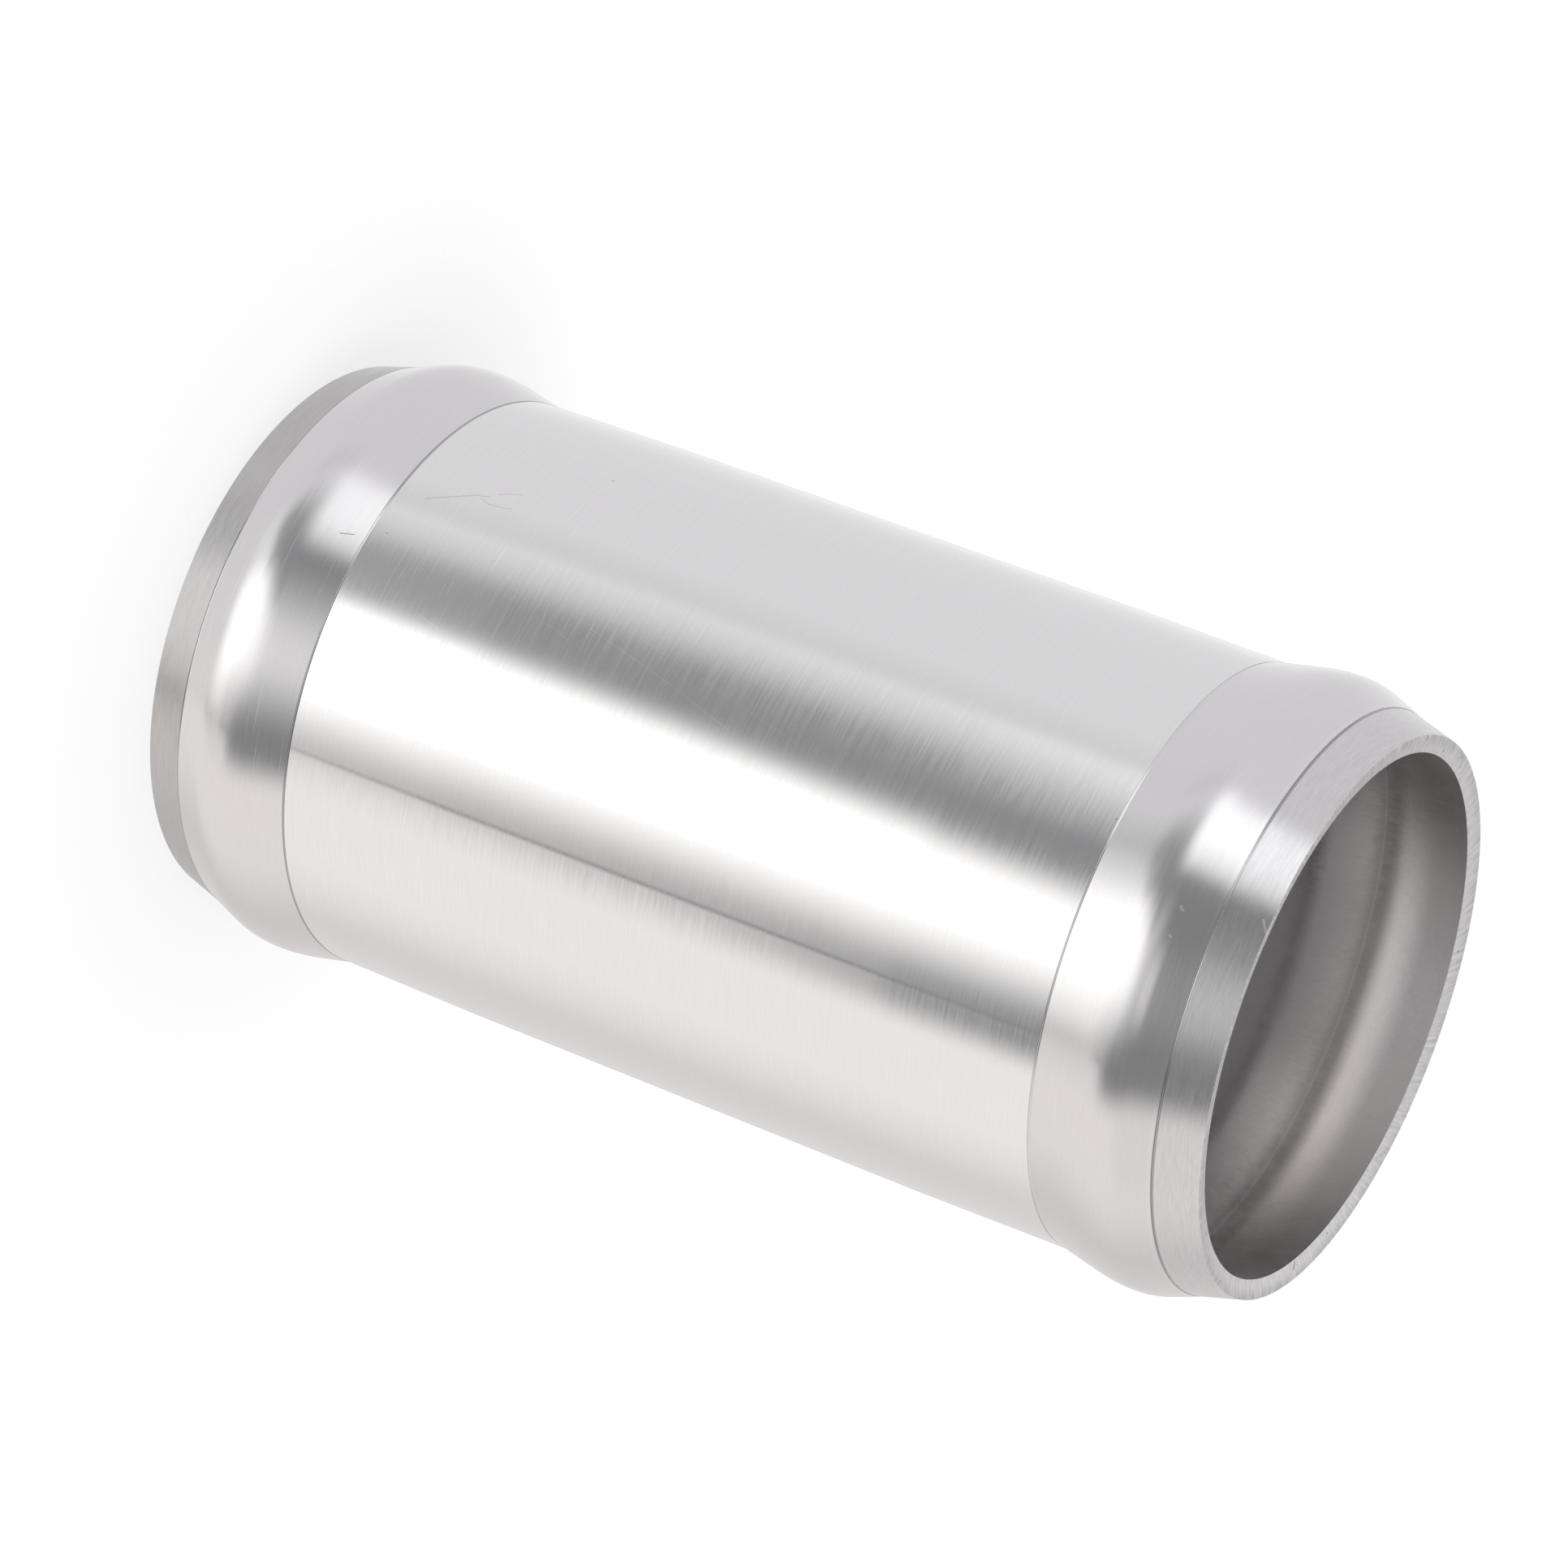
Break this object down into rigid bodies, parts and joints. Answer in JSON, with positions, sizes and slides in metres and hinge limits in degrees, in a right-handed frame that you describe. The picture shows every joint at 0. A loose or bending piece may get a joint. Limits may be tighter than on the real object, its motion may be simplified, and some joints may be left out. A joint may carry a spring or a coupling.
{
  "type": "intercooler pipe",
  "caption": "Short straight aluminium tube with a rolled bead and a rolled-in lip near each end, for joining intercooler hoses.",
  "frame": {"origin": "centre of the lower end, in the plane of the narrow flat dressed on its outer edge, on which the part stands", "axes": "+Z along the tube's axis, from the lower end to the upper end; X and Y lie across it, and their direction is free because the part is round"},
  "size_m": [0.0526, 0.0526, 0.1],
  "materials": {
    "aluminium": "bright satin, with fine lines turned round the outside and a duller drawn surface in the bore"
  },
  "bodies": {
    "root": {"pipe": "aluminium"}
  },
  "joints": []
}
